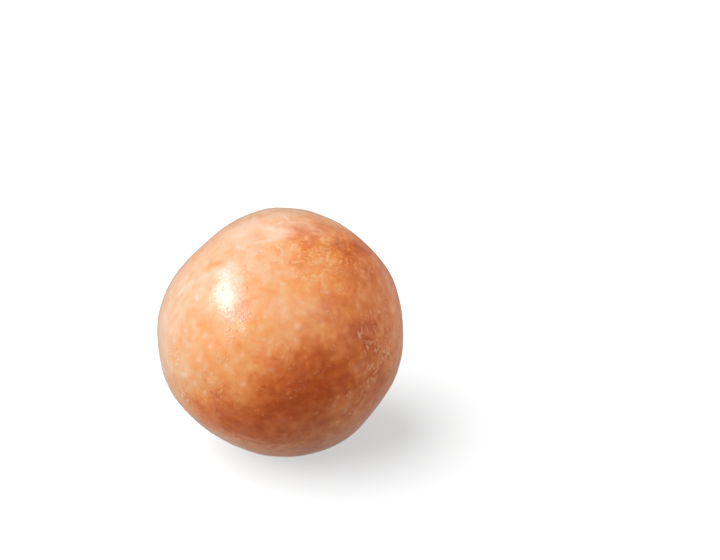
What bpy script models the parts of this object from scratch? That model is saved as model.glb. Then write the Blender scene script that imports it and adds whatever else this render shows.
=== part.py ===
"""A glazed doughnut hole: one solid ball of fried dough, resting on a small flat spot.

The ball starts as a cube cut into a grid and blown up to a sphere. Every point then moves along its own
radius: in where the dough was pressed flatter, out where it is fuller and at the waist where it floated at
the oil line, and up and down with the lumps, creases and glaze bead of its crust. Metres, +Z up, with the
origin on the table under the middle of the ball. +Y is the far side.
"""
import math

import bmesh
import bpy
from mathutils import Vector, noise

# Driving sizes of the ball
BALL_DIAMETER = 0.038
BALL_RADIUS = BALL_DIAMETER / 2
GRID_CUTS = 29  # cuts across each side of the starting cube

# The resting spot: the round is pressed soft and flat at this share of the radius, then cut level
REST_REACH = 0.968
REST_SHARPNESS = 60
FOOT_SINK = 0.00025

# Places where the dough was pressed flatter, as (heading, tilt, depth, spread): heading in degrees from
# +X towards +Y, tilt in degrees above the table, depth as a share of the radius, spread in degrees
PRESSED_PLACES = (
    (152, 39, 0.053, 23),  # broad flat, upper left and towards the back
    (-146, -44, 0.009, 16),  # lower left
    (-21, -28, 0.020, 20),  # right, towards the front
    (4, 3, 0.009, 14),  # right side
    (48, 22, 0.034, 25),  # back right
    (106, -16, 0.044, 27),  # back, below the middle
    (-84, 48, 0.010, 20),  # faint one on the upper front
)

# Fuller places, as (heading, tilt, height, spread)
FULL_PLACES = (
    (-57, -55, 0.016, 19),  # belly low at the front
    (66, 58, 0.017, 22),  # crown, just behind the top
    (176, 8, 0.010, 13),  # left side
    (58, -36, 0.018, 26),  # heel at the back
)

# The waist where the ball floated at the oil line
WAIST_HEADING = -52
WAIST_TILT = -46
WAIST_RISE = 0.00016
WAIST_SPREAD = 0.16  # half width of the waist as a share of the radius

# Lumps of the crust, as (waves round the ball, height)
CRUST_LUMPS = (
    (1.3, 0.00030),
    (2.9, 0.00014),
    (6.2, 0.00007),
)
LUMP_SEED = Vector((4.7, 1.9, 8.3))

# Creases of the crust, as (heading, tilt, turn, length, depth): turn in degrees from level, in metres
CREASES = (
    (-142, 46, 24, 0.0052, 0.00022),
    (-38, 61, -12, 0.0064, 0.00016),
    (24, 30, 62, 0.0070, 0.00018),
    (72, -28, 14, 0.0086, 0.00024),
    (128, 12, -38, 0.0074, 0.00020),
)
CREASE_WIDTH = 0.0011

# Bead of glaze that ran down and set round the foot
BEAD_ANGLE = 21  # degrees from straight down
BEAD_SPREAD = 3.2
BEAD_HEIGHT = 0.00022

CRUST_COLOUR = (0.72, 0.36, 0.16, 1.0)
CRUST_ROUGHNESS = 0.32


def facing(heading, tilt):
    """The unit vector at a heading from +X and a tilt above the table, both in degrees."""
    turn, rise = math.radians(heading), math.radians(tilt)
    return Vector((math.cos(turn) * math.cos(rise), math.sin(turn) * math.cos(rise), math.sin(rise)))


def clear_scene():
    for obj in list(bpy.data.objects):
        bpy.data.objects.remove(obj)


def soft_rest(way):
    """The radius, as a share of the ball's, where its weight presses the round flat on the table."""
    lean = max(way.dot(Vector((0, 0, -1))), 0.0) / REST_REACH
    return (1.0 + lean ** REST_SHARPNESS) ** (-1 / REST_SHARPNESS)


def soft_hills(way, places):
    """The summed height of rounded hills, as a share of the radius."""
    total = 0.0
    for heading, tilt, height, spread in places:
        off = way.angle(facing(heading, tilt)) / math.radians(spread)
        total += height * math.exp(-off * off)
    return total


def waist(way):
    """The faint swelling round the oil line, in metres."""
    off = way.dot(facing(WAIST_HEADING, WAIST_TILT)) / WAIST_SPREAD
    return WAIST_RISE * math.exp(-off * off)


def crust_lumps(way):
    """The uneven rise of the crust, in metres."""
    return sum(height * noise.noise(way * waves + LUMP_SEED) for waves, height in CRUST_LUMPS)


def creases(way):
    """How far the short creases dip, in metres."""
    dip = 0.0
    for heading, tilt, turn, length, depth in CREASES:
        middle = facing(heading, tilt)
        level = Vector((0, 0, 1)).cross(middle).normalized()
        upward = middle.cross(level)
        run = math.radians(turn)
        along = level * math.cos(run) + upward * math.sin(run)
        across = middle.cross(along)
        offset = (way - middle) * BALL_RADIUS
        reach = offset.dot(along) / (length / 2)
        # A crease bows a little, as a fold in a round skin does
        bow = offset.dot(across) - CREASE_WIDTH * 0.6 * reach * reach
        side = bow / (CREASE_WIDTH / 2)
        if way.dot(middle) > 0:
            dip += depth * math.exp(-side * side - reach ** 4)
    return dip


def glaze_bead(way):
    """The rise of the bead of glaze round the foot, in metres: it is thicker in some places than others."""
    angle = math.degrees(way.angle(Vector((0, 0, -1))))
    off = (angle - BEAD_ANGLE) / BEAD_SPREAD
    patchy = 0.6 + 0.4 * noise.noise(Vector((way.x, way.y, 0)) * 7 + LUMP_SEED)
    return BEAD_HEIGHT * patchy * math.exp(-off * off)


def crust_radius(way):
    """The distance of the crust from the middle of the ball, in metres, along a unit vector."""
    uneven = soft_hills(way, FULL_PLACES) - soft_hills(way, PRESSED_PLACES)
    form = BALL_RADIUS * (soft_rest(way) + uneven)
    return form + waist(way) + crust_lumps(way) + glaze_bead(way) - creases(way)


def dough_material():
    material = bpy.data.materials.new("glazed_crust")
    material.use_nodes = True
    shader = material.node_tree.nodes["Principled BSDF"]
    shader.inputs["Base Color"].default_value = CRUST_COLOUR
    shader.inputs["Roughness"].default_value = CRUST_ROUGHNESS
    shader.inputs["Metallic"].default_value = 0.0
    return material


def round_grid():
    """A cube cut into a grid, with its points spread evenly and pushed out to a unit sphere."""
    grid = bmesh.new()
    bmesh.ops.create_cube(grid, size=2)
    bmesh.ops.subdivide_edges(grid, edges=grid.edges[:], cuts=GRID_CUTS, use_grid_fill=True)
    for vert in grid.verts:
        even = [math.tan(value * math.pi / 4) for value in vert.co]
        vert.co = Vector(even).normalized()
    return grid


def make_ball():
    grid = round_grid()
    for vert in grid.verts:
        way = vert.co.copy()
        vert.co = way * crust_radius(way)

    # Stand the ball on the table: its lowest part is cut flat, and the origin is under its middle
    lowest = min(vert.co.z for vert in grid.verts)
    middle_x = (min(vert.co.x for vert in grid.verts) + max(vert.co.x for vert in grid.verts)) / 2
    middle_y = (min(vert.co.y for vert in grid.verts) + max(vert.co.y for vert in grid.verts)) / 2
    for vert in grid.verts:
        height = vert.co.z - lowest - FOOT_SINK
        vert.co = Vector((vert.co.x - middle_x, vert.co.y - middle_y, max(height, 0.0)))

    mesh = bpy.data.meshes.new("doughnut_ball")
    grid.to_mesh(mesh)
    grid.free()
    mesh.shade_smooth()
    mesh.materials.append(dough_material())
    return bpy.data.objects.new("doughnut_ball", mesh)


def main():
    clear_scene()
    parts = bpy.data.collections.new("doughnut_hole")
    bpy.context.scene.collection.children.link(parts)
    parts.objects.link(make_ball())


main()
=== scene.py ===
"""The looks of a glazed doughnut hole: a ball of fried dough under a thin, milky, hard-set sugar glaze."""
import math
import random

import bmesh
import bpy
import numpy as np
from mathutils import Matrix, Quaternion, Vector, bvhtree, kdtree, noise


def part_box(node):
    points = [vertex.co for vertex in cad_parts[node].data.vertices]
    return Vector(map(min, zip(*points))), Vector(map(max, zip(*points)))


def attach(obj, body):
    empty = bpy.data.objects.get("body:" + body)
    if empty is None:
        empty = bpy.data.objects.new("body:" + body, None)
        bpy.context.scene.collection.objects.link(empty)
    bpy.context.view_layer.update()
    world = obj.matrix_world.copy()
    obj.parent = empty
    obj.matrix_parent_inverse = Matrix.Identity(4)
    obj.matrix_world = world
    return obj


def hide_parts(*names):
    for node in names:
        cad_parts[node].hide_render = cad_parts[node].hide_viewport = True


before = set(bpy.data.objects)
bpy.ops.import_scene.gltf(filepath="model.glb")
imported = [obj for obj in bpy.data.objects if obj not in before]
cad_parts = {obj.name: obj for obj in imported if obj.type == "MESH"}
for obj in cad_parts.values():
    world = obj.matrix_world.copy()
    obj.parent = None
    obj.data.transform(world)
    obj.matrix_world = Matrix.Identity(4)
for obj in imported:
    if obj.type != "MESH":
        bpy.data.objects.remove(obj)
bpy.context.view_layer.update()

# Glazed crust
# The real piece is a ball of sweet dough, fried golden, then dipped in warm sugar glaze that sets as a thin
# milky skin. The CAD ball is its form: a finer copy of it takes the relief of the crust and the glaze.
MM = 0.001
low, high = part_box("doughnut_ball")
BALL_MIDDLE = (low + high) / 2
BALL_RADIUS = (high.x - low.x) / 2


def facing(heading, tilt):
    """The way out of the ball at a heading from +X towards +Y and a tilt above the table, in degrees."""
    turn, rise = math.radians(heading), math.radians(tilt)
    return Vector((math.cos(turn) * math.cos(rise), math.sin(turn) * math.cos(rise), math.sin(rise)))


cage = bmesh.new()
cage.from_mesh(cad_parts["doughnut_ball"].data)
bmesh.ops.remove_doubles(cage, verts=cage.verts[:], dist=1e-6)
bmesh.ops.join_triangles(cage, faces=cage.faces[:], angle_face_threshold=math.radians(40),
                         angle_shape_threshold=math.radians(60))
cage_mesh = bpy.data.meshes.new("glazed_crust")
cage.to_mesh(cage_mesh)
cage.free()
crust = bpy.data.objects.new("glazed_crust", cage_mesh)
bpy.context.scene.collection.objects.link(crust)
finer = crust.modifiers.new("finer", "SUBSURF")
finer.levels = finer.render_levels = 2
bpy.context.view_layer.update()
skin = bpy.data.meshes.new_from_object(crust.evaluated_get(bpy.context.evaluated_depsgraph_get()))
crust.modifiers.clear()
crust.data = skin
skin.shade_smooth()

ways = [(vert.co - BALL_MIDDLE).normalized() for vert in skin.vertices]
points = np.array([vert.co[:] for vert in skin.vertices])
outward = np.array([vert.normal[:] for vert in skin.vertices])

# Rows of soft patches: heading, tilt, turn from level, half length, half width, all in degrees, and strength.
# How brown the crust is runs from 0, pale dough, to 1, the darkest red brown.
BASE_BROWN = 0.13
BROWN_PATCHES = (
    (-45, -20, 0, 78, 68, 0.56),  # the side that lay lowest in the oil
    (-78, 3, 25, 27, 18, 0.28),  # deepest belly, at the front
    (-106, -16, 8, 30, 16, 0.28),  # its lower left end
    (-126, -10, 20, 16, 9, 0.17),  # orange tongue at the lower left
    (-112, -16, 0, 9, 7, 0.07),
    (-64, 23.5, 0, 5, 3.5, 0.08),  # dark spots on the right
    (-47, 21.5, 0, 8, 4.5, 0.13),
    (-57, 36, 0, 10, 7, 0.10),
    (-40, 45, 0, 8, 6, 0.07),
    (-30, 40, 0, 32, 24, 0.05),  # the upper right
    (-14, 53, -30, 8, 5, 0.22),  # its orange patch
    (6, 51, -60, 22, 10, 0.36),
    (18, 62, -75, 14, 5, 0.14),
    (-20, 43, -16, 22, 9, 0.17),
    (-111, 36, 0, 7, 6, 0.06),
    (-50, 67, 0, 11, 5, 0.16),
    (-24, 75, -10, 12, 7, 0.29),  # freckled orange at the top right
    (-44, 75, 0, 12, 5, 0.18),
    (-16, 85, -110, 8, 5, 0.20),
    (-110, -6, 0, 7, 6, 0.05),
    (-80, 86, 0, 14, 6, 0.05),
    (-78, -20, 0, 9, 7, 0.05),
    (-131, -9, 0, 6, 7, 0.06),
    (-70, 87, 0, 12, 9, 0.05),
    (-110, 76, 0, 12, 5, 0.05),
    (20, 78, -70, 14, 6, 0.03),
    (-8, 61, -50, 16, 7, 0.04),
    (-36, -14, 70, 12, 7, 0.17),
    (-30, -33, 60, 14, 7, 0.08),
    (-40, 10, 70, 18, 12, 0.05),
    (-76, 16, 0, 12, 8, 0.13),
    (-140, 70, 20, 16, 7, 0.09),
    (-165, 75, 0, 16, 7, 0.09),
    (-92, -24, 0, 14, 6, 0.05),
    (-92, 4, 0, 10, 7, 0.05),
    (-121, 28, 0, 9, 8, 0.12),
    (-132, 36, 0, 8, 6, 0.05),
    (-132, 46, 40, 14, 9, 0.04),
    (-140, 57, 0, 8, 6, 0.07),
    (-104, 65, 0, 8, 5, 0.18),
    (-114, 42, 0, 8, 10, 0.08),
    (-64, 66, 0, 5, 4, 0.10),
    (-115, -31, 0, 20, 9, 0.09),
    (-60, 55, 0, 7, 5, 0.08),
    (-28, 34, -60, 12, 6, 0.06),
    (30, 10, 10, 40, 34, 0.30),  # round the back, from here on
    (72, 22, -30, 24, 14, 0.22),
    (105, -22, 15, 44, 24, 0.40),
    (128, 48, 20, 20, 12, 0.20),
    (150, 8, 40, 26, 15, 0.27),
    (178, -28, -10, 30, 18, 0.34),
)
PALE_AND_REFLECTION_PATCHES = (
    (-76, 36, -35, 12, 6, 0.06),  # pale band across the middle
    (-98, 28, 20, 22, 10, 0.06),
    (-70, 26, 0, 6, 4, 0.06),
    (-86, 71, 0, 16, 8, 0.14),  # pale top
    (-126, 65, 0, 10, 6, 0.10),
    (-48, 55, -20, 12, 6, 0.10),
    (-117, 45, 0, 8, 7, 0.05),
    (-131, 55, 0, 7, 6, 0.07),
    (-58, -24, 80, 14, 8, 0.06),  # milky place low on the right
    (-52, 4, 0, 6, 4, 0.10),
    # The far right side and the left side are painted paler: a painted reflection, standing in for the light
    # the glaze mirrors at the edges
    (-24, 4, 90, 30, 17, 0.12),  # far right side
    (-152, 6, 80, 34, 14, 0.08),  # left side
    (-126, -6, 0, 17, 9, 0.09),
    (-117, 3, 0, 12, 8, 0.10),
    (-140, -14, 0, 8, 7, 0.05),
    (-166, 30, 80, 18, 9, 0.09),
    (-29, 66, 0, 11, 5, 0.18),
    (-17, 75, 0, 8, 4, 0.08),
    (-88, 27, 0, 8, 7, 0.05),  # above the belly
    (-90, -17, 0, 8, 7, 0.08),  # pale clouds in the belly
    (-60, -15, 0, 8, 6, 0.07),
    (-70, -5, 0, 8, 6, 0.05),
    (-60, 5, 0, 7, 6, 0.05),
    (-122, 55, 0, 13, 6, 0.09),  # the top left
    (-90, 54, 0, 8, 6, 0.07),
    (-142, 44, 0, 7, 6, 0.05),
    (-84, 45, 0, 9, 6, 0.05),
    (-80, 64, 0, 6, 5, 0.05),
    (-56, 45, 0, 8, 5, 0.05),
    (96, 44, 0, 20, 14, 0.10),
)
# How thick and milky the glaze is; round the edges and on the top the milk is partly a painted reflection of
# the white room and floor
MILKY_AND_REFLECTION_PATCHES = (
    # At the front, low down, the milk is partly glaze gathered above the foot and partly a painted reflection
    # of the white floor on the lower edge
    (-90, -50, 0, 70, 14, 0.26),  # gathered low down, above the foot
    (90, -56, 0, 70, 12, 0.20),
    # On the top and the top left the milk is partly thick glaze and partly a painted reflection of the room
    (-130, 86, 42, 24, 11, 0.52),  # and thick on the top
    (-150, 72, 0, 24, 12, 0.12),
    (-45, -30, 60, 20, 12, 0.09),
    (-72, -28, 10, 24, 11, 0.14),
    (-74, -14, 12, 24, 10, 0.07),
    # Down both sides the milk is partly glaze and partly a painted reflection of the room at the edges
    (-10, 4, 90, 30, 9, 0.14),  # the far right side
    (-170, 12, 90, 44, 20, 0.26),  # down the left side
    (-105, 83.5, 0, 5, 1.3, 0.55),  # strokes across the top
    (-72, 81, -16, 4, 1.2, 0.45),
    (-113, 75, 22, 4, 1.0, 0.45),
    (-86, 78.5, 0, 4, 3, 0.36),
    (-86, 78, 0, 14, 6, 0.06),
    (2, 80.5, -92, 3.4, 0.9, 0.36),
    (-8, 71, -70, 2.6, 1.4, 0.26),
    (22, 74, -110, 3, 0.9, 0.34),
    (-142, 74, 50, 5, 2, 0.22),
    (-72, 39, -20, 9, 6, 0.16),  # pinkish place in the middle
    (-80, 31, 0, 1.7, 1.4, 0.55),  # pale bump
    (-61, 44, -48, 2.8, 0.8, 0.50),  # pale flecks
    (-67, 32, -30, 1.6, 0.9, 0.30),
    (-110, 29, 0, 1.1, 1.0, 0.45),
    (-130, 22, 80, 1.9, 0.9, 0.45),
    (-143.5, 20, 0, 1.2, 1.0, 0.40),
    (-126, 18.5, 0, 1.0, 0.9, 0.35),
    (-130.5, 10.5, 0, 1.3, 0.9, 0.30),
    (-109, 18, 0, 0.8, 0.8, 0.35),
    (-116, 11.5, 85, 1.8, 0.7, 0.28),
    (-120, -7, 0, 1.1, 0.8, 0.35),
    (-121, -16, 0, 1.3, 0.9, 0.35),
    (-138.5, 0, 15, 2.8, 1.1, 0.45),
    (-107.5, 4.5, 0, 0.8, 0.8, 0.45),
    (-94, 12, 0, 1.6, 1.2, 0.25),
    (-160, 33, 85, 2.8, 0.9, 0.80),
    (-156, 27, 85, 4, 1.1, 0.35),
    (-144, 36, 0, 1.9, 0.9, 0.50),
    (-172, 26, 85, 3.2, 0.9, 0.45),
    (-166, 18, 80, 5, 1.0, 0.30),
    (-52, 6, 10, 4, 2, 0.22),
    (-90, -15, 0, 3, 1.8, 0.16),
    (-143, 40, 70, 8, 3, 0.26),  # pale flecks left of the bright spot
    (-150, 30, 80, 9, 2, 0.16),
    (-146, 49, 50, 9, 1.2, 0.24),  # pale lip under the crease
    (60, 60, 10, 14, 2, 0.26),
    (110, 72, -15, 9, 2, 0.30),
    (150, 40, 60, 10, 2, 0.26),
    (20, 30, -40, 9, 1.6, 0.24),
)
# Where the fried crust shows through clear and golden
GOLDEN_PATCHES = (
    (-14, 54, -40, 16, 9, 0.65),
    (-54, 74, -20, 18, 8, 0.8),
    (-62, 51, 0, 14, 8, 0.45),
    (-95, 50, 0, 12, 8, 0.3),
    (-42, 44, 0, 16, 9, 0.1),
    (-60, 30, 0, 16, 11, 0.3),
    (-54, 9, 0, 16, 12, 0.45),
    (-108, 34, 0, 9, 6, 0.7),
    (-112, -16, 0, 10, 7, 0.6),
    (-38, -15, 0, 8, 7, 0.8),
    (-116, 12, 10, 15, 10, 0.4),
    (-121, 29, 0, 12, 9, 0.7),
    (-128, -8, 0, 10, 6, 0.3),
    (100, 30, 20, 24, 14, 0.5),
    (40, -10, 20, 24, 14, 0.4),
)
# Where the crust is freckled and grainy
FRECKLED_PATCHES = (
    (-52, 67, -20, 22, 11, 0.9),
    (-34, 56, -30, 22, 10, 0.7),
    (-64, 50, 0, 10, 8, 0.5),
    (-126, -8, 20, 20, 10, 0.4),
    (-40, 10, 70, 24, 14, 0.4),
    (-116, 48, 0, 12, 16, 0.3),
    (40, 40, 20, 30, 14, 0.8),
    (120, 5, 30, 34, 14, 0.6),
    (170, 55, -20, 22, 12, 0.6),
)
# Fields of soft marks in the glaze, like brush strokes: the field's heading, tilt, half length and half width
# and the marks' turn in degrees, how many, their half length and half width in millimetres, and what they
# add to the brown and to the milk.
MARK_FIELDS = (
    (-36, 12, 20, 26, 84, 56, 0.8, 0.32, -0.06, 0.12),  # upright on the right
    (-48, -14, 18, 11, 50, 30, 1.2, 0.44, -0.05, 0.11),  # slanting low on the right
    (-90, -36, 50, 8, 2, 60, 1.4, 0.28, -0.06, 0.10),  # level above the foot
    (-90, 80, 60, 9, 5, 26, 1.3, 0.26, -0.03, 0.18),  # level on the top
    (-158, 18, 12, 30, 88, 60, 0.9, 0.24, -0.04, 0.14),  # upright on the left
    (-84, 10, 26, 9, 70, 50, 0.7, 0.34, -0.08, 0.00),  # over the top edge of the belly
    (-85, -6, 24, 12, 30, 40, 0.8, 0.35, 0.06, 0.00),
    (-42, 62, 26, 12, 60, 170, 0.32, 0.24, -0.11, 0.0),  # freckles
    (60, 0, 34, 34, 80, 160, 1.0, 0.28, -0.07, 0.06),  # round the back
    (140, -10, 30, 30, 60, 130, 1.0, 0.28, -0.07, 0.06),
    (90, -40, 60, 8, 0, 60, 1.4, 0.28, -0.05, 0.10),
    (70, 66, 60, 12, 20, 110, 0.6, 0.26, -0.08, 0.10),
)
# How far a single mark strays from its field's turn, and between which shares its strength and size lie
MARK_TURN_DEG, MARK_STRENGTH, MARK_SIZE = 22, (0.4, 1.4), (0.6, 1.3)
# Dabs of browner and paler crust all over it: their halves in millimetres, and what they add to the brown
DABS = 1500
DAB_HALF_LENGTH, DAB_HALF_WIDTH, DAB_BROWN = (0.4, 1.0), (0.22, 0.45), (-0.13, 0.11)
# A crease at the upper left, a bump in the middle, and the smooth glaze under the bright stroke
CREASE = ((-150, 52.8, 48, 8, 1.8, 1.0),)
PALE_BUMP = ((-80, 31, 0, 2.2, 1.8, 1.0),)
SMOOTH_GLAZE = ((-122, 41, 0, 20, 20, 0.85),)
CREASE_BROWN = 0.20
# Soft noise that mottles the brown: its strength, its waves along one radius, and its seed
BROWN_CLOUDS = ((0.05, 4.5, 2.3), (0.095, 10, 4.1), (0.065, 21, 6.7))
# The larger, the sharper a patch or a mark ends
PATCH_EDGE, MARK_EDGE = 1.3, 1.5
MARK_REACH = 1.3  # past this many half lengths nothing of a mark is left


def patches(rows, where):
    """Adds up soft patches at every way in where, an array of ways out of the ball."""
    total = np.zeros(len(where))
    for heading, tilt, turn, half_length, half_width, strength in rows:
        middle = facing(heading, tilt)
        level = Vector((0, 0, 1)).cross(middle).normalized()
        upward = middle.cross(level)
        run = math.radians(turn)
        along = level * math.cos(run) + upward * math.sin(run)
        across = middle.cross(along)
        off = np.arccos(np.clip(where @ middle, -1, 1))
        flat = where - np.outer(where @ middle, middle)
        flat /= np.maximum(np.linalg.norm(flat, axis=1), 1e-9)[:, None]
        u = off * (flat @ along) / math.radians(half_length)
        v = off * (flat @ across) / math.radians(half_width)
        total += strength * np.exp(-((u * u + v * v) ** PATCH_EDGE))
    return total


def clouds(waves, seed):
    """Soft noise over the crust, about -1 to 1, with this many waves along one radius."""
    start = Vector((seed, seed * 0.7, -seed))
    return np.array([noise.noise(way * waves + start) for way in ways]) * 1.5


def wander(where, waves, reach, seed):
    """The ways pushed about by noise, so that what is laid on them gets ragged edges."""
    start = Vector((seed, -seed, seed * 1.3))
    return [(way + noise.noise_vector(way * waves + start) * reach).normalized() for way in where]


# Browning has ragged edges, marks in the glaze nearly keep their shape, and relief keeps it. Without a seed
# the noise that pushes them about would start from the clock, and differ from run to run.
RAGGED_SEED = 3
noise.seed_set(RAGGED_SEED)
ragged = wander(wander(ways, 2.4, 0.10, 3.1), 6.5, 0.035, 8.7)
ragged = np.array(wander(ragged, 17, 0.012, 5.3))
exact = np.array([way[:] for way in ways])
nearly = np.array(wander(ways, 9, 0.02, 1.9))

crease = patches(CREASE, nearly)
browned = BASE_BROWN + patches(BROWN_PATCHES, ragged) - patches(PALE_AND_REFLECTION_PATCHES, ragged) + CREASE_BROWN * crease
browned += sum(strength * clouds(waves, seed) for strength, waves, seed in BROWN_CLOUDS)
milky = 0.01 + patches(MILKY_AND_REFLECTION_PATCHES, nearly)
milky += 0.06 * np.maximum(clouds(6, 12.5), 0) + 0.08 * np.maximum(clouds(15, 14.2), 0) ** 2
freckled = np.clip(patches(FRECKLED_PATCHES, ragged), 0, 1)
golden = np.clip(patches(GOLDEN_PATCHES, ragged) + 0.25 * clouds(9, 33.1), 0, 1)

# Relief in millimetres: slow swells, finer ripples, then small dents and puffs scattered all over
SWELL, RIPPLE, FINE_RIPPLE = 0.032, 0.006, 0.003
CREASE_DEPTH, BUMP_HEIGHT = 0.03, 0.10
MARK_SEED = 14
smooth = patches(SMOOTH_GLAZE, exact)
lift = (SWELL * clouds(5.5, 21.0) + RIPPLE * clouds(13, 23.0)) * (1 - smooth)
lift += FINE_RIPPLE * clouds(30, 25.0)
lift -= CREASE_DEPTH * crease
lift += BUMP_HEIGHT * patches(PALE_BUMP, exact)
draw = random.Random(MARK_SEED)
nearest = kdtree.KDTree(len(points))
for number, point in enumerate(points):
    nearest.insert(point, number)
nearest.balance()
# Headings crowd together near the top, so a field spans more of them there, up to this limit
LEAST_GIRTH = 0.35


def any_way():
    """A random way out of the ball, any place as likely as another."""
    rise = draw.uniform(-1, 1)
    turn = draw.uniform(0, 2 * math.pi)
    spread = math.sqrt(1 - rise * rise)
    return Vector((spread * math.cos(turn), spread * math.sin(turn), rise))


def heading_off(way, turn):
    """The direction on the ball at this way, turned this many degrees up from level."""
    run = math.radians(turn)
    level = Vector((0, 0, 1)).cross(way).normalized()
    return level * math.cos(run) + way.cross(level) * math.sin(run)


def in_field(heading, tilt, half_length, half_width):
    """A random way inside an oval field on the ball."""
    spread = math.sqrt(draw.random())
    around_field = draw.uniform(0, 2 * math.pi)
    up_by = half_width * spread * math.sin(around_field)
    girth = max(math.cos(math.radians(tilt)), LEAST_GIRTH)
    along_by = half_length * spread * math.cos(around_field) / girth
    return facing(heading + along_by, tilt + up_by)


def mark(way, course, half_length, half_width, brown, milk):
    """Lays one soft oval mark on the crust, its halves in millimetres."""
    middle = BALL_MIDDLE + way * BALL_RADIUS
    across = way.cross(course)
    for point, index, _ in nearest.find_range(middle, half_length * MARK_REACH * MM):
        off = (point - middle) / MM
        far = (off.dot(course) / half_length) ** 2 + (off.dot(across) / half_width) ** 2
        share = math.exp(-far ** MARK_EDGE)
        browned[index] += brown * share
        milky[index] += milk * share


for heading, tilt, half_length, half_width, turn, count, length, width, brown, milk in MARK_FIELDS:
    for _ in range(count):
        way = in_field(heading, tilt, half_length, half_width)
        strength = draw.uniform(*MARK_STRENGTH)
        size = draw.uniform(*MARK_SIZE)
        course = heading_off(way, turn + draw.gauss(0, MARK_TURN_DEG))
        mark(way, course, length * size, width * size, brown * strength, milk * strength)
for _ in range(DABS):
    way = any_way()
    course = heading_off(way, draw.uniform(0, 180))
    length, width = draw.uniform(*DAB_HALF_LENGTH), draw.uniform(*DAB_HALF_WIDTH)
    mark(way, course, length, width, draw.uniform(*DAB_BROWN), 0.0)

DENTS, DENT_REACH, DENT_DEPTH, DENT_BROWNER = 260, (0.35, 0.9), (0.01, 0.03), 0.02
PUFFS, PUFF_REACH, PUFF_HEIGHT, PUFF_PALER = 420, (0.30, 0.62), (0.008, 0.034), (0.0, 0.16)
for number in range(DENTS + PUFFS):
    middle = nearest.find(BALL_MIDDLE + any_way() * BALL_RADIUS)[0]
    raised = number >= DENTS
    reach = draw.uniform(*PUFF_REACH) if raised else draw.uniform(*DENT_REACH)
    height = draw.uniform(*PUFF_HEIGHT) if raised else -draw.uniform(*DENT_DEPTH)
    paler = draw.uniform(*PUFF_PALER) if raised else -DENT_BROWNER
    for _, index, distance in nearest.find_range(middle, reach * MM):
        share = (1 - (distance / (reach * MM)) ** 2) ** 2
        lift[index] += height * share * (1 - smooth[index])
        browned[index] -= paler * share
        milky[index] += 0.5 * paler * share

# The relief starts above the foot, which stays flat on the table
FOOT_TOP, FOOT_FADE = 0.05 * MM, 0.6 * MM
held = np.clip((points[:, 2] - FOOT_TOP) / FOOT_FADE, 0, 1)
points += outward * (lift * MM * held)[:, None]
points[:, 2] = np.maximum(points[:, 2], 0)
skin.vertices.foreach_set("co", points.astype(np.float32).ravel())
skin.update()
LEAST_BROWN, FRECKLED_BROWN, MOST_MILKY = 0.06, 0.10, 0.9
browned = np.clip(browned, LEAST_BROWN + FRECKLED_BROWN * freckled, 1)
milky = np.clip(milky, 0, MOST_MILKY)
fields = {"browned": browned, "milky": milky, "freckled": freckled, "golden": golden}
for name, field in fields.items():
    skin.attributes.new(name, "FLOAT", "POINT").data.foreach_set("value", field.astype(np.float32))


class Flow:
    """One value on its way through a material, so that shader maths reads as plain Python."""

    def __init__(self, tree, socket=None):
        self.tree = tree
        self.socket = socket

    def node(self, kind, settings, sockets, output=0):
        """Adds any node: its settings first, then the values or links of its sockets."""
        made = self.tree.nodes.new("ShaderNode" + kind)
        for name, setting in settings.items():
            if name != "stops":
                setattr(made, name, setting)
                continue
            for number, (place, colour) in enumerate(setting):
                stops = made.color_ramp.elements
                stop = stops[number] if number < 2 else stops.new(place)
                stop.position = place
                stop.color = (*colour, 1)
        for name, value in sockets.items():
            if isinstance(value, Flow):
                self.tree.links.new(value.socket, made.inputs[name])
            else:
                made.inputs[name].default_value = value
        return Flow(self.tree, made.outputs[output])

    def sum(self, operation, first, second):
        """Numbers meet in a Math node, and colours and vectors in a Vector Math node."""
        flat = all(not isinstance(term, Flow) or term.socket.type == "VALUE" for term in (first, second))
        if flat:
            return self.node("Math", {"operation": operation}, {0: first, 1: second})
        terms = [term if isinstance(term, Flow) else (term, term, term) for term in (first, second)]
        return self.node("VectorMath", {"operation": operation}, {0: terms[0], 1: terms[1]})

    def __add__(self, other):
        return self.sum("ADD", self, other)

    def __radd__(self, other):
        return self.sum("ADD", other, self)

    def __sub__(self, other):
        return self.sum("SUBTRACT", self, other)

    def __rsub__(self, other):
        return self.sum("SUBTRACT", other, self)

    def __mul__(self, other):
        return self.sum("MULTIPLY", self, other)

    def __rmul__(self, other):
        return self.sum("MULTIPLY", other, self)

    def step(self, start, end):
        """Rises smoothly from 0 at start to 1 at end, or falls where start is the larger."""
        limits = {"Value": self, "From Min": start, "From Max": end}
        return self.node("MapRange", {"interpolation_type": "SMOOTHSTEP"}, limits)

    def towards(self, colour, share):
        """This colour mixed with another one by a share from 0 to 1."""
        return self.node("Mix", {"data_type": "RGBA"}, {"Factor": share, 6: self, 7: (*colour, 1)}, 2)


CRUST_COLOURS = (
    (0.00, (0.71, 0.46, 0.295)),
    (0.15, (0.72, 0.38, 0.185)),
    (0.30, (0.73, 0.312, 0.114)),
    (0.45, (0.70, 0.240, 0.073)),
    (0.60, (0.63, 0.173, 0.041)),
    (0.80, (0.52, 0.110, 0.018)),
    (1.00, (0.41, 0.068, 0.009)),
)
MILK_COLOUR = (0.84, 0.59, 0.46)
PINK_COLOUR = (0.80, 0.30, 0.20)
GOLD_COLOUR = (0.72, 0.40, 0.08)
GOLDEN_TINT = (1.06, 0.92, 0.22)
BUMP_DEPTH_MM = 0.026
CRUST_GLOW_MM = 1.2
# The glaze is dull round this way out of the ball, between these two cosines of the angle away from it
DULL_WAY, DULL_EDGE, DULL_CORE = facing(-58, 62), 0.72, 0.92


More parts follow.
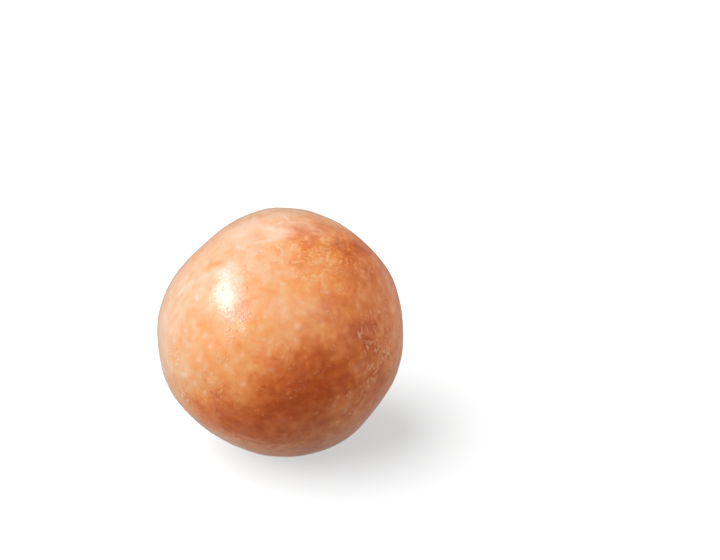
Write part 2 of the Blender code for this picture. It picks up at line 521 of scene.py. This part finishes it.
def glazed(name, glow_depth):
    """The glazed crust as a material: the brown under the glaze, the milk in it, and its fine grain.

    Light spreads under the surface by about glow_depth, in millimetres.
    """
    material = bpy.data.materials.new(name)
    material.use_nodes = True
    tree = material.node_tree
    start = Flow(tree)
    place = start.node("TexCoord", {}, {}, "Object")
    brown = start.node("Attribute", {"attribute_name": "browned"}, {}, "Fac")
    milk = start.node("Attribute", {"attribute_name": "milky"}, {}, "Fac")
    freckles = start.node("Attribute", {"attribute_name": "freckled"}, {}, "Fac")
    gold = start.node("Attribute", {"attribute_name": "golden"}, {}, "Fac")

    def cloud(size, detail=1.0, distortion=0.0):
        """Noise with blobs of about this size in millimetres, from -1 to 1."""
        sockets = {"Vector": place, "Scale": 1 / (size * MM), "Detail": detail, "Distortion": distortion}
        return start.node("TexNoise", {}, sockets) * 2.0 - 1.0

    def dots(spacing, reach, share, bend=0.0):
        """Dots on a share of the cells of a loose net, its spacing in millimetres, bent out of round."""
        coarse = {"Vector": place, "Scale": 2 / (spacing * MM), "Detail": 0.0}
        swirl = start.node("TexNoise", {}, coarse, "Color")
        sockets = {"Vector": place + (swirl - 0.5) * (bend * spacing * MM), "Scale": 1 / (spacing * MM)}
        near = start.node("TexVoronoi", {}, sockets, "Distance")
        which = start.node("TexVoronoi", {}, sockets, "Color")
        chosen = start.node("SeparateColor", {}, {0: which}, 0)
        return near.step(reach, reach * 0.3) * chosen.step(1 - share, 1.02 - share)

    blotch = cloud(2.6, 2.0, 0.8)
    mottle = cloud(1.1, 1.0, 0.6)
    grain = cloud(0.32, 1.0)
    spots = dots(0.72, 0.48, 0.75, 0.4)
    specks = dots(1.7, 0.15, 0.5)
    pores = dots(0.50, 0.26, 0.45)
    shade = brown + blotch * 0.10 + mottle * 0.09 + grain * 0.06
    shade = shade + freckles * (0.11 - spots * 0.26 + grain * 0.12 + pores * 0.16)
    shade = shade + pores * 0.06 - specks * 0.08
    colour = start.node("ValToRGB", {"stops": CRUST_COLOURS}, {0: shade})
    tinted = {"Factor": gold * brown.step(-0.1, 0.45) * 0.75, 6: colour, 7: (*GOLDEN_TINT, 1)}
    colour = start.node("Mix", {"data_type": "RGBA", "blend_type": "MULTIPLY"}, tinted, 2)
    hue = cloud(7.0, 1.0) + cloud(1.4, 1.0) * 0.5
    paler = brown.step(0.7, 0.25)
    colour = colour.towards(PINK_COLOUR, hue.step(0.05, 0.6) * paler * 0.10)
    colour = colour.towards(GOLD_COLOUR, hue.step(-0.05, -0.6) * paler * 0.12)
    veil = milk * (1.0 - brown * 0.8) + specks * 0.05 + freckles * spots * 0.03
    colour = colour.towards(MILK_COLOUR, veil)
    off_middle = start.node("VectorMath", {"operation": "SUBTRACT"}, {0: place, 1: BALL_MIDDLE})
    outwards = start.node("VectorMath", {"operation": "NORMALIZE"}, {0: off_middle})
    near_dull = start.node("VectorMath", {"operation": "DOT_PRODUCT"}, {0: outwards, 1: DULL_WAY}, "Value")
    dull = near_dull.step(DULL_EDGE, DULL_CORE)
    rough = 0.225 + grain * 0.05 + mottle.step(0.1, 0.7) * 0.05
    rough = rough + milk * 0.30 + freckles * 0.25 + dull * 0.35
    gloss = 0.9 - dull * 0.8
    height = cloud(0.7, 1.0) * 0.20 + grain * 0.40 + cloud(0.2, 0.0) * 0.36 - pores * 0.8 + specks * 0.3
    height = height + freckles * spots * 1.3
    bump = start.node("Bump", {}, {"Height": height, "Strength": 1.0, "Distance": BUMP_DEPTH_MM * MM})

    shader = tree.nodes["Principled BSDF"]
    varying = {"Base Color": colour, "Roughness": rough, "Normal": bump, "Coat Weight": gloss}
    for socket, value in varying.items():
        tree.links.new(value.socket, shader.inputs[socket])
    shader.inputs["IOR"].default_value = 1.28
    shader.inputs["Coat IOR"].default_value = 1.25
    shader.inputs["Coat Roughness"].default_value = 0.43
    shader.inputs["Sheen Weight"].default_value = 0.12
    shader.inputs["Sheen Roughness"].default_value = 0.4
    shader.inputs["Sheen Tint"].default_value = (1.0, 0.55, 0.42, 1.0)
    shader.inputs["Subsurface Weight"].default_value = 0.17
    shader.inputs["Subsurface Radius"].default_value = (1.0, 0.45, 0.2)
    shader.inputs["Subsurface Scale"].default_value = glow_depth * MM
    return material


skin.materials.clear()
skin.materials.append(glazed("glazed_crust", CRUST_GLOW_MM))
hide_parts("doughnut_ball")
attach(crust, "root")

# Glaze wrinkles
# Where the glaze dried before it ran smooth it puckered into short pale worms, about half a millimetre wide.
# Each is a thin strip of set sugar laid on the crust, its edges sunk so that it grows out of the glaze.
WRINKLE_FIELDS = (
    # the field's heading, tilt, half length and half width and the worms' turn in degrees, how many, how pale
    (-49, 19.5, 2.5, 2, 50, 4, 0.50),  # chains of worms on the right
    (-46, 15.5, 3.5, 2, -45, 6, 0.50),
    (-40.5, 9, 1, 2, 83, 3, 0.55),
    (-35, 5, 2, 3, -72, 5, 0.50),
    (-29.5, 2, 2, 4, 84, 5, 0.50),
    (-46, 1.5, 2, 1, 45, 2, 0.50),
    (-45, -3.5, 3.5, 2.5, 70, 4, 0.45),
    (-52, -11, 5, 3, 45, 4, 0.25),
    (-38, 22, 3, 4, 83, 4, 0.26),
    (-29, 9, 2, 3, 84, 3, 0.34),
    (-26, 23, 3, 4, 84, 3, 0.26),
    (-40, 9, 12, 11, 78, 10, 0.28),
    (-34, -5, 9, 11, 84, 8, 0.28),
    (-50, -12, 11, 10, 50, 8, 0.26),
    (-26, 34, 12, 12, 80, 12, 0.22),
    (-124, 1, 1.6, 4, 96, 6, 0.24),  # and on the left
    (-126.5, -7, 2.5, 2, 50, 5, 0.26),
    (-147, 3, 2, 4, 94, 6, 0.46),
    (-142, -12, 4.5, 6, 112, 14, 0.46),
    (-127, 5, 1, 2, 85, 2, 0.30),
    (-147, -6, 9, 14, 102, 12, 0.42),
    (-122, -3, 4, 9, 100, 4, 0.34),
    (-162, 28, 8, 16, 92, 14, 0.30),
    (-46, 66, 18, 8, 15, 10, 0.16),
    (-30, 56, 14, 8, -30, 6, 0.16),
    (-95, -34, 40, 6, 5, 20, 0.14),
    (-88, 6, 16, 10, 20, 16, 0.16),
    (58, 12, 22, 14, 80, 60, 0.30),
    (132, -8, 20, 14, 64, 46, 0.30),
    (20, 46, 20, 10, 20, 30, 0.22),
    (98, 52, 18, 12, 0, 30, 0.22),
    (168, 22, 12, 14, 95, 30, 0.26),
)
WRINKLE_SIDES, WRINKLE_STEPS, WRINKLE_SEED = 4, 8, 31
# Their measures in millimetres, and how wide the ends are beside the middle
WRINKLE_LENGTH, WRINKLE_HALF_WIDTH = (0.5, 1.6), (0.16, 0.38)
WRINKLE_HEIGHT, WRINKLE_SINK, WRINKLE_END = (0.018, 0.042), 0.014, 0.25
# How far they stray from their field's turn, how they bend, and how the bend changes at each step
WRINKLE_TURN_DEG, WRINKLE_BEND, WRINKLE_SWERVE = 28, 0.14, 0.10
# How milky and how much less brown the palest is, and the share of the milk that is lost in grainy crust
WRINKLE_PALER, WRINKLE_MILKY, WRINKLE_FADED, WRINKLE_GRAINY = (0.5, 1.2), 0.65, 0.65, 0.5
LEAST_RAISED_BROWN, RAISED_BROWNER = 0.12, 0.02
# The painted shade in the gaps between the worms: its half length as a share of a worm's length, its half
# width as a share of the worm's half width, and its brown for each share of paleness
GAP_SHADE_LENGTH, GAP_SHADE_WIDTH, GAP_SHADE_BROWN = 0.6, 2.0, 0.23
GLAZE_GLOW_MM = 0.05
skin_tree = bvhtree.BVHTree.FromPolygons([vert.co for vert in skin.vertices],
                                         [face.vertices for face in skin.polygons])


def on_crust(way):
    """The point of the finished crust in this way out of the ball, and the four fields there."""
    far = BALL_MIDDLE + way * BALL_RADIUS * 2
    point = skin_tree.ray_cast(far, -way)[0]
    near = nearest.find(point)[1]
    return point, *(field[near] for field in fields.values())


class Scatter:
    """Many copies of one small shape, laid on the crust one after another and joined in one piece."""

    def __init__(self, name, shape, count):
        mesh = bpy.data.meshes.new(name)
        shape.to_mesh(mesh)
        shape.free()
        self.shape = [vert.co.copy() for vert in mesh.vertices]
        self.piece = bpy.data.objects.new(name, mesh)
        bpy.context.scene.collection.objects.link(self.piece)
        rows = self.piece.modifiers.new("rows", "ARRAY")
        rows.count = count
        rows.use_relative_offset = False
        bpy.context.view_layer.update()
        together = self.piece.evaluated_get(bpy.context.evaluated_depsgraph_get())
        self.piece.data = bpy.data.meshes.new_from_object(together)
        self.piece.modifiers.clear()
        self.points, self.values = [], []

    def lay(self, point, *values):
        """Places the next vertex and says what the crust's fields are there."""
        self.points.extend(point)
        self.values.append(values)

    def finish(self):
        """Moves every vertex to its place, and gives the joined piece its finish and its body."""
        mesh = self.piece.data
        mesh.vertices.foreach_set("co", self.points)
        for name, row in zip(fields, zip(*self.values)):
            mesh.attributes.new(name, "FLOAT", "POINT").data.foreach_set("value", row)
        mesh.shade_smooth()
        mesh.update()
        mesh.materials.append(glazed(self.piece.name, GLAZE_GLOW_MM))
        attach(self.piece, "root")


strip = bmesh.new()
bmesh.ops.create_grid(strip, x_segments=WRINKLE_SIDES, y_segments=WRINKLE_STEPS, size=1)
wrinkles = Scatter("glaze_wrinkles", strip, sum(row[5] for row in WRINKLE_FIELDS))
draw = random.Random(WRINKLE_SEED)
worm_gap_shades = []
for heading, tilt, half_length, half_width, turn, count, pale in WRINKLE_FIELDS:
    for _ in range(count):
        way = in_field(heading, tilt, half_length, half_width)
        course = heading_off(way, turn + draw.gauss(0, WRINKLE_TURN_DEG))
        length = draw.uniform(*WRINKLE_LENGTH)
        stride = length / WRINKLE_STEPS * MM / BALL_RADIUS
        bend = draw.gauss(0, WRINKLE_BEND)
        path = [way]
        for _ in range(WRINKLE_STEPS):
            bend += draw.gauss(0, WRINKLE_SWERVE)
            course = Quaternion(way, bend) @ course
            way = (way + course * stride).normalized()
            course = (course - way * course.dot(way)).normalized()
            path.append(way)
        half = draw.uniform(*WRINKLE_HALF_WIDTH)
        height = draw.uniform(*WRINKLE_HEIGHT)
        paler = pale * draw.uniform(*WRINKLE_PALER)
        # a painted shade mark for the gap beside this worm
        worm_gap_shade = (length * GAP_SHADE_LENGTH, half * GAP_SHADE_WIDTH, paler * GAP_SHADE_BROWN)
        worm_gap_shades.append((path[WRINKLE_STEPS // 2], course, *worm_gap_shade))
        for corner in wrinkles.shape:
            across, along = corner.x, (corner.y + 1) / 2 * WRINKLE_STEPS
            rung = round(along)
            before = min(rung, WRINKLE_STEPS - 1)
            side = (path[before + 1] - path[before]).cross(path[rung]).normalized()
            taper = math.sqrt(max(0.0, 1 - (2 * along / WRINKLE_STEPS - 1) ** 2))
            away = across * half * (WRINKLE_END + (1 - WRINKLE_END) * taper) * MM / BALL_RADIUS
            out = (path[rung] + side * away).normalized()
            place, brown, milk, grainy, gold = on_crust(out)
            share = (1 - across * across) * taper
            place += out * ((height * share - WRINKLE_SINK * (1 - share)) * MM)
            milk += WRINKLE_MILKY * paler * share * (1 - WRINKLE_GRAINY * grainy)
            brown = max(brown * (1 - WRINKLE_FADED * paler * share), LEAST_RAISED_BROWN) + RAISED_BROWNER
            wrinkles.lay(place, brown, milk, grainy * (1 - share), gold * (1 - share))
wrinkles.finish()

# Painted shade: the crust is painted browner in the gaps between the worms, where shade falls
for way, course, half_length, half_width, gap_shade_brown in worm_gap_shades:
    mark(way, course, half_length, half_width, gap_shade_brown, 0.0)
np.clip(browned, 0, 1, out=browned)
skin.attributes["browned"].data.foreach_set("value", browned.astype(np.float32))

# Glaze blisters
# Steam from the hot dough lifts the wet glaze into tiny bubbles, which set as pale beads over all the crust.
# Each is a lens of sugar, half sunk, and they crowd where the crust is grainy.
BLISTER_COUNT, BLISTER_SEED = 520, 47
BEAD_SIDES, BEAD_RINGS = 8, 6
# Their half width in millimetres, and their height, length and sunk part as shares
BEAD_HALF_WIDTH, BEAD_FLATNESS, BEAD_STRETCH, BEAD_SUNK = (0.12, 0.30), (0.07, 0.16), (1.0, 1.8), 0.3
BEAD_PALER, BEAD_MILKY, BEAD_FADED, BEAD_GRAINY, BEAD_GOLDEN = (0.03, 0.22), 0.9, 0.6, 0.3, 0.5
SPARSE_BEADS = 0.25  # the share of them that stays where the crust isn't grainy
LOWEST_BEAD = 1.5 * MM
bead = bmesh.new()
bmesh.ops.create_uvsphere(bead, u_segments=BEAD_SIDES, v_segments=BEAD_RINGS, radius=1)
beads = Scatter("glaze_blisters", bead, BLISTER_COUNT)
draw = random.Random(BLISTER_SEED)
made = 0
while made < BLISTER_COUNT:
    way = any_way()
    place, brown, milk, grainy, gold = on_crust(way)
    if draw.random() > SPARSE_BEADS + (1 - SPARSE_BEADS) * grainy or place.z < LOWEST_BEAD:
        continue
    made += 1
    half = draw.uniform(*BEAD_HALF_WIDTH)
    height = half * draw.uniform(*BEAD_FLATNESS)
    longer = draw.uniform(*BEAD_STRETCH)
    paler = draw.uniform(*BEAD_PALER)
    level = Quaternion(way, draw.uniform(0, math.pi)) @ Vector((0, 0, 1)).cross(way).normalized()
    upward = way.cross(level)
    for corner in beads.shape:
        share = max(0.0, corner.z) ** 0.5
        out_by = level * (corner.x * half * longer) + upward * (corner.y * half)
        out_by += way * ((corner.z - BEAD_SUNK) * height)
        milky_bead = milk + BEAD_MILKY * paler * share * (1 - BEAD_GRAINY * grainy)
        brown_bead = max(brown * (1 - BEAD_FADED * paler * share), LEAST_RAISED_BROWN) + RAISED_BROWNER
        beads.lay(place + out_by * MM, brown_bead, milky_bead, 0.0, gold * BEAD_GOLDEN)
beads.finish()

# Table
# A sheet of white card under the ball, so wide that its edge is out of sight. Its glow keeps it nearly white
# round the soft shadow. It isn't part of the object.
TABLE_SIZE = 6.0
CARD_GLOW = 0.555
table = bmesh.new()
bmesh.ops.create_grid(table, x_segments=1, y_segments=1, size=TABLE_SIZE / 2)
table_mesh = bpy.data.meshes.new("table")
table.to_mesh(table_mesh)
table.free()
table_top = bpy.data.objects.new("table", table_mesh)
bpy.context.scene.collection.objects.link(table_top)
card = bpy.data.materials.new("white_card")
card.use_nodes = True
card_shader = card.node_tree.nodes["Principled BSDF"]
card_shader.inputs["Base Color"].default_value = (0.1, 0.1, 0.1, 1)
card_shader.inputs["Roughness"].default_value = 1.0
card_shader.inputs["Specular IOR Level"].default_value = 0.0
card_shader.inputs["Emission Color"].default_value = (1, 1, 1, 1)
card_shader.inputs["Emission Strength"].default_value = CARD_GLOW
table_mesh.materials.append(card)
table_top.visible_glossy = False
table_top.visible_diffuse = False
table_top.visible_shadow = False

# Light
# A soft light on the left, a fill light from the right, and an oval softbox that draws the bright stroke, in
# a white room. The table has its own soft light for the shadow. The room below stands in for the light that
# the table throws back, dim where the shadow lies. None of it is part of the object.
SOFT_LIGHTS = (
    # name, heading, tilt and spread in degrees, and energy
    ("soft_light", 205, 29.5, 45, 2.06),
    ("fill_light", -12, 41, 80, 0.64),
    ("table_light", 180, 45, 90, 24.5),
)
for name, heading, tilt, spread, energy in SOFT_LIGHTS:
    soft_light = bpy.data.lights.new(name, "SUN")
    soft_light.energy = energy
    soft_light.angle = math.radians(spread)
    sun = bpy.data.objects.new(name, soft_light)
    sun.rotation_mode = "QUATERNION"
    sun.rotation_quaternion = (-facing(heading, tilt)).to_track_quat("-Z", "Y")
    bpy.context.scene.collection.objects.link(sun)
table_only = bpy.data.collections.new("table_only")
table_only.objects.link(table_top)
sun.light_linking.receiver_collection = table_only

LAMP_HEADING, LAMP_TILT, LAMP_TURN = 195.5, 45.6, 70
LAMP_DISTANCE = 0.6
LAMP_WIDTH_DEG = 9
LAMP_HEIGHT_DEG = 48
LAMP_RADIANCE, LAMP_COLOUR = 70.0, (0.77, 0.83, 1.0)
lamp_light = bpy.data.lights.new("softbox", "AREA")
lamp_light.shape = "ELLIPSE"
lamp_light.color = LAMP_COLOUR
lamp_light.size = 2 * LAMP_DISTANCE * math.tan(math.radians(LAMP_WIDTH_DEG / 2))
lamp_light.size_y = 2 * LAMP_DISTANCE * math.tan(math.radians(LAMP_HEIGHT_DEG / 2))
lamp_light.energy = LAMP_RADIANCE * math.pi * lamp_light.size * lamp_light.size_y
lamp = bpy.data.objects.new("softbox", lamp_light)
lamp_way = facing(LAMP_HEADING, LAMP_TILT)
lamp.location = BALL_MIDDLE + lamp_way * LAMP_DISTANCE
lamp.rotation_mode = "QUATERNION"
upright = (-lamp_way).to_track_quat("-Z", "Y")
lamp.rotation_quaternion = upright @ Quaternion((0, 0, 1), math.radians(LAMP_TURN))
lamp.visible_diffuse = False
bpy.context.scene.collection.objects.link(lamp)

# The room is dimmer at the viewer's side and where the shadow lies, and dimmer still as the glaze mirrors it
ROOM_BRIGHT, ROOM_DIM, ROOM_MIRRORED = 0.85, 0.725, 0.46
VIEWER_SIDE, FAR_SIDE = -0.9, 0.2
SHADE_HEADING, SHADE_TILT, ROOM_SHADED = -67, -56, 0.32
SHADE_EDGE, SHADE_CORE = 0.25, 0.95
room = bpy.data.worlds.new("white_room")
bpy.context.scene.world = room
room.use_nodes = True
room.node_tree.nodes.clear()
around = Flow(room.node_tree)
outlook = around.node("TexCoord", {}, {}, "Generated")
depth = around.node("SeparateXYZ", {}, {0: outlook}, "Y")
shade_way = {0: outlook, 1: facing(SHADE_HEADING, SHADE_TILT)}
shaded = around.node("VectorMath", {"operation": "DOT_PRODUCT"}, shade_way, "Value")
glow = depth.step(VIEWER_SIDE, FAR_SIDE) * (ROOM_BRIGHT - ROOM_DIM) + ROOM_DIM
glow = glow * (1.0 - shaded.step(SHADE_EDGE, SHADE_CORE) * (1 - ROOM_SHADED))
mirrored = around.node("LightPath", {}, {}, "Is Glossy Ray")
glow = glow * (1.0 - mirrored * (1 - ROOM_MIRRORED))
lit = around.node("Background", {}, {"Color": (1, 1, 1, 1), "Strength": glow})
seen = around.node("Background", {}, {"Color": (1, 1, 1, 1), "Strength": 1.0})
direct = around.node("LightPath", {}, {}, "Is Camera Ray")
both = around.node("MixShader", {}, {0: direct, 1: lit, 2: seen})
out = room.node_tree.nodes.new("ShaderNodeOutputWorld")
room.node_tree.links.new(both.socket, out.inputs["Surface"])

# Camera
# It looks down on the ball from the front, as far off and as high as in the photograph, and is aimed so that
# the ball's middle falls on the same pixel.
PHOTO_WIDTH, PHOTO_HEIGHT = 720, 560
BALL_PIXEL = (279.3, 328.4)
CAMERA_HEIGHT_DEG = 30
CAMERA_DISTANCE = 0.3081
CAMERA_LENS, SENSOR_WIDTH = 100, 36
camera_data = bpy.data.cameras.new("camera")
camera_data.sensor_width = SENSOR_WIDTH
camera_data.lens = CAMERA_LENS
camera_data.clip_start = 0.01
camera = bpy.data.objects.new("camera", camera_data)
rise = math.radians(CAMERA_HEIGHT_DEG)
back = Vector((0, -math.cos(rise), math.sin(rise)))
up = Vector((0, math.sin(rise), math.cos(rise)))
pixel = CAMERA_DISTANCE * SENSOR_WIDTH / CAMERA_LENS / PHOTO_WIDTH
aim = BALL_MIDDLE + Vector((1, 0, 0)) * (PHOTO_WIDTH / 2 - BALL_PIXEL[0]) * pixel
aim += up * (BALL_PIXEL[1] - PHOTO_HEIGHT / 2) * pixel
camera.location = BALL_MIDDLE + back * CAMERA_DISTANCE
camera.rotation_mode = "QUATERNION"
camera.rotation_quaternion = (aim - camera.location).to_track_quat("-Z", "Y")
bpy.context.scene.collection.objects.link(camera)
bpy.context.scene.camera = camera
bpy.context.scene.view_settings.view_transform = "Standard"
